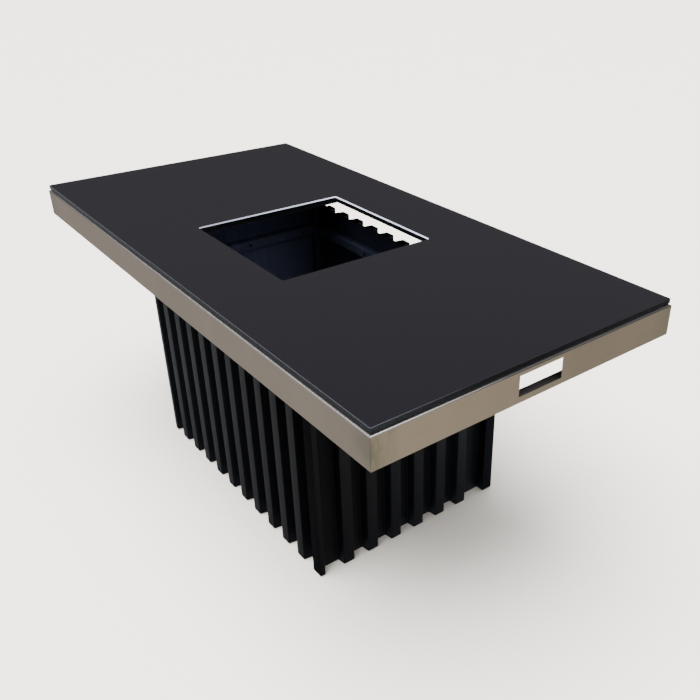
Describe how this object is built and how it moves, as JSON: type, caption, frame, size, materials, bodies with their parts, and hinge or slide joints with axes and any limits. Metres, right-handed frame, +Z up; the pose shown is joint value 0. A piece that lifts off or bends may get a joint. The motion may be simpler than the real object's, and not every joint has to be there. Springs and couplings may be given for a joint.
{
  "type": "burner dining table",
  "caption": "Long dining table with a square burner opening in a black glass top, a slim stainless apron with a control cut-out in one end, and a box base of fluted black panels.",
  "frame": {"origin": "on the floor, under the middle of the table", "axes": "+X along the table towards the end with the control cut-out, +Y across it towards the back, +Z up"},
  "size_m": [1.8, 0.9, 0.78],
  "materials": {
    "glass": "satin black tempered glass with polished edges",
    "foam": "black closed-cell foam",
    "board": "black board",
    "steel": "satin stainless sheet",
    "frame": "matt black powder coat",
    "panel": "black painted fluted board, semi-gloss",
    "glide": "black plastic",
    "screw": "zinc plated"
  },
  "bodies": {
    "root": {"glass_top": "glass", "edge_pads": "foam", "opening_pads": "foam", "top_board": "board", "apron_front": "steel", "apron_right": "steel", "apron_back": "steel", "apron_left": "steel", "rail_front": "frame", "rail_right": "frame", "rail_back": "frame", "rail_left": "frame", "cross_bearer_left": "frame", "cross_bearer_right": "frame", "long_bearer_front": "frame", "long_bearer_back": "frame", "opening_bearer_left": "frame", "opening_bearer_right": "frame", "outrigger_front_left": "frame", "outrigger_front_right": "frame", "outrigger_back_left": "frame", "outrigger_back_right": "frame", "post_front_left": "frame", "post_front_right": "frame", "post_back_left": "frame", "post_back_right": "frame", "post_head_plates": "frame", "upper_rail_front": "frame", "upper_rail_right": "frame", "upper_rail_back": "frame", "upper_rail_left": "frame", "lower_rail_front": "frame", "lower_rail_right": "frame", "lower_rail_back": "frame", "lower_rail_left": "frame", "apron_stays": "frame", "fluted_front": "panel", "fluted_right": "panel", "fluted_back": "panel", "fluted_left": "panel", "foot_glides": "glide", "board_screws": "screw", "apron_screws": "screw", "stay_screws": "screw", "post_screws": "screw", "panel_screws": "screw"}
  },
  "joints": []
}
